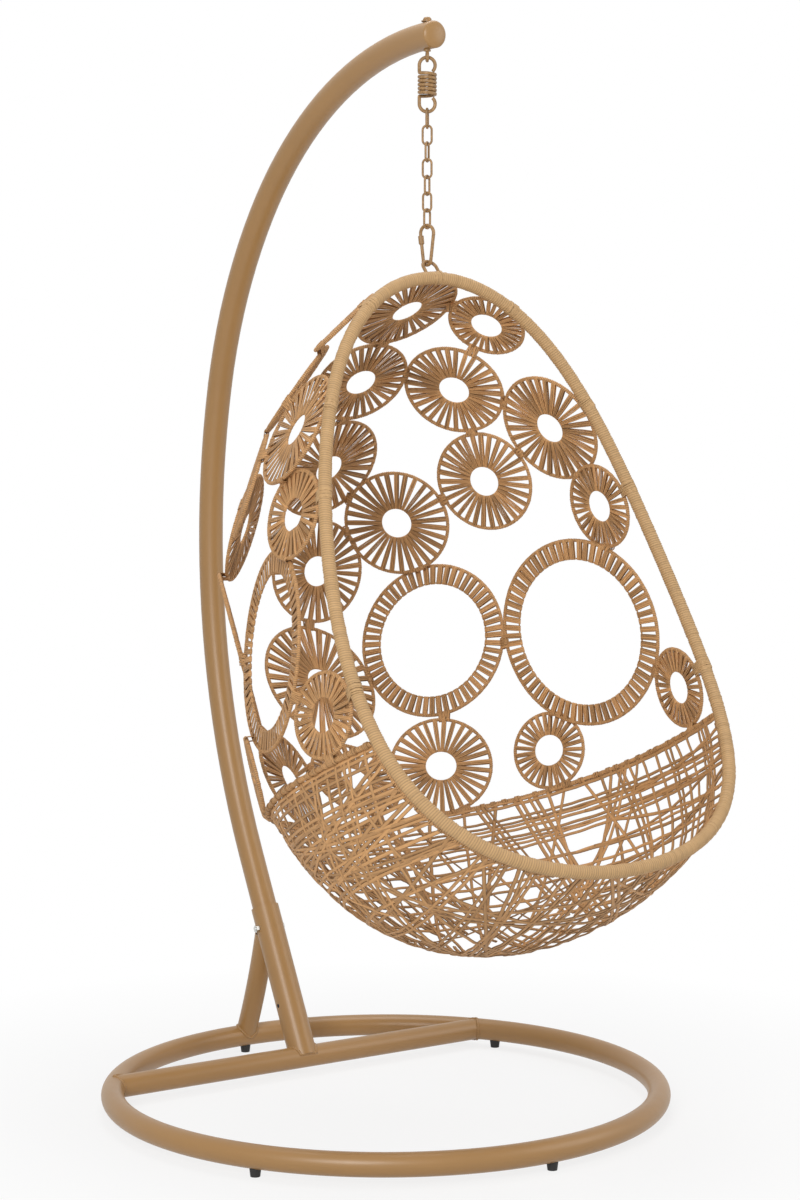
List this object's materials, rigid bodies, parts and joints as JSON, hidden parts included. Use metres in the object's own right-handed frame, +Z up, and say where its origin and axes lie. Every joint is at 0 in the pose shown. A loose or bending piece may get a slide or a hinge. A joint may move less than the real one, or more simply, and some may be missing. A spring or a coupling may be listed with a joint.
{
  "type": "hanging egg chair",
  "caption": "Egg-shaped hanging chair of woven rings over a woven bowl, on a chain and spring from a curved pole with a ring base.",
  "frame": {"origin": "on the floor, in the middle of the footprint box; the base ring is centred 22.8 mm behind it", "axes": "+Z up, -Y the way the seat faces, +X to the left hand of a sitting person"},
  "size_m": [1.0499, 1.3545, 1.9762],
  "materials": {
    "tan_paint": "satin",
    "chain_paint": "satin",
    "zinc": "satin",
    "black_steel": "satin",
    "black_feet": "matte",
    "cane_wrap": "satin",
    "wicker": "matte",
    "weave": "matte"
  },
  "bodies": {
    "stand": {"base_ring": "tan_paint", "crossbar": "tan_paint", "feet": "black_feet", "socket": "tan_paint", "rear_brace": "tan_paint", "pole": "tan_paint", "pole_cap": "tan_paint", "socket_bolt": "zinc", "socket_nut": "zinc", "set_screw": "black_steel", "eye_bolt": "chain_paint", "eye_nut": "chain_paint"},
    "spring_top": {"spring_top_hook": "chain_paint", "spring": "chain_paint"},
    "spring_foot": {"spring_lower_hook": "chain_paint"},
    "link_1": {"link_1": "chain_paint"},
    "link_2": {"link_2": "chain_paint"},
    "link_3": {"link_3": "chain_paint"},
    "link_4": {"link_4": "chain_paint"},
    "link_5": {"link_5": "chain_paint"},
    "link_6": {"link_6": "chain_paint"},
    "link_7": {"link_7": "chain_paint"},
    "carabiner": {"carabiner": "chain_paint", "gate_pin": "chain_paint"},
    "gate": {"carabiner_gate": "chain_paint"},
    "sleeve": {"lock_sleeve": "chain_paint"},
    "basket": {"rim_loop": "chain_paint", "rim": "cane_wrap", "edge_wire": "wicker", "bowl": "weave", "ring_ties": "wicker", "ring_c1": "wicker", "ring_c2": "wicker", "ring_c3": "wicker", "ring_c4": "wicker", "ring_c5": "wicker", "ring_c6": "wicker", "ring_r1": "wicker", "ring_r2": "wicker", "ring_r3": "wicker", "ring_r4": "wicker", "ring_r5": "wicker", "ring_r6": "wicker", "ring_r7": "wicker", "ring_r8": "wicker", "ring_r9": "wicker", "ring_r10": "wicker", "ring_r11": "wicker", "ring_l1": "wicker", "ring_l2": "wicker", "ring_l3": "wicker", "ring_l4": "wicker", "ring_l5": "wicker", "ring_l6": "wicker", "ring_l7": "wicker", "ring_l8": "wicker", "ring_l9": "wicker", "ring_l10": "wicker", "ring_l11": "wicker"}
  },
  "joints": [
    {"name": "hook_swing", "type": "hinge", "parent": "stand", "child": "spring_top", "pos_m": [0, -0.10791, 1.90036], "axis": [0.5, 0.866, 0], "range_deg": [-10, 10]},
    {"name": "spring_stretch", "type": "slide", "parent": "spring_top", "child": "spring_foot", "axis": [0, 0, -1], "range_m": [0, 0.02], "stiffness_N_per_m": 45000, "springref_m": -0.0025, "deforming": ["spring"]},
    {"name": "link_1_swing", "type": "hinge", "parent": "spring_foot", "child": "link_1", "pos_m": [0, -0.10791, 1.81151], "axis": [0.866, -0.5, 0], "range_deg": [-10, 10]},
    {"name": "link_2_swing", "type": "hinge", "parent": "link_1", "child": "link_2", "pos_m": [0, -0.10791, 1.78331], "axis": [-0.7071, -0.7071, 0], "range_deg": [-10, 10]},
    {"name": "link_3_swing", "type": "hinge", "parent": "link_2", "child": "link_3", "pos_m": [0, -0.10791, 1.75401], "axis": [-0.766, 0.6428, 0], "range_deg": [-10, 10]},
    {"name": "link_4_swing", "type": "hinge", "parent": "link_3", "child": "link_4", "pos_m": [0, -0.10791, 1.72471], "axis": [0.8192, 0.5736, 0], "range_deg": [-10, 10]},
    {"name": "link_5_swing", "type": "hinge", "parent": "link_4", "child": "link_5", "pos_m": [0, -0.10791, 1.69541], "axis": [0.6428, -0.766, 0], "range_deg": [-10, 10]},
    {"name": "link_6_swing", "type": "hinge", "parent": "link_5", "child": "link_6", "pos_m": [0, -0.10791, 1.66611], "axis": [-0.9063, -0.4226, 0], "range_deg": [-10, 10]},
    {"name": "link_7_swing", "type": "hinge", "parent": "link_6", "child": "link_7", "pos_m": [0, -0.10791, 1.63681], "axis": [-0.5, 0.866, 0], "range_deg": [-10, 10]},
    {"name": "carabiner_swing", "type": "hinge", "parent": "link_7", "child": "carabiner", "pos_m": [0, -0.10791, 1.60751], "axis": [0.9659, 0.2588, 0], "range_deg": [-10, 10]},
    {"name": "basket_swing", "type": "hinge", "parent": "carabiner", "child": "basket", "pos_m": [0, -0.10791, 1.54281], "axis": [-0.342, 0.9397, 0], "range_deg": [-8, 8]},
    {"name": "gate_open", "type": "hinge", "parent": "carabiner", "child": "gate", "pos_m": [-0.00306, -0.09952, 1.55775], "axis": [0.9397, 0.342, 0], "range_deg": [0, 20], "stiffness_Nm_per_rad": 0.02, "springref_deg": -17.19},
    {"name": "sleeve_slide", "type": "slide", "parent": "gate", "child": "sleeve", "axis": [-0.0428, 0.1175, 0.9922], "range_m": [0, 0.003]}
  ]
}
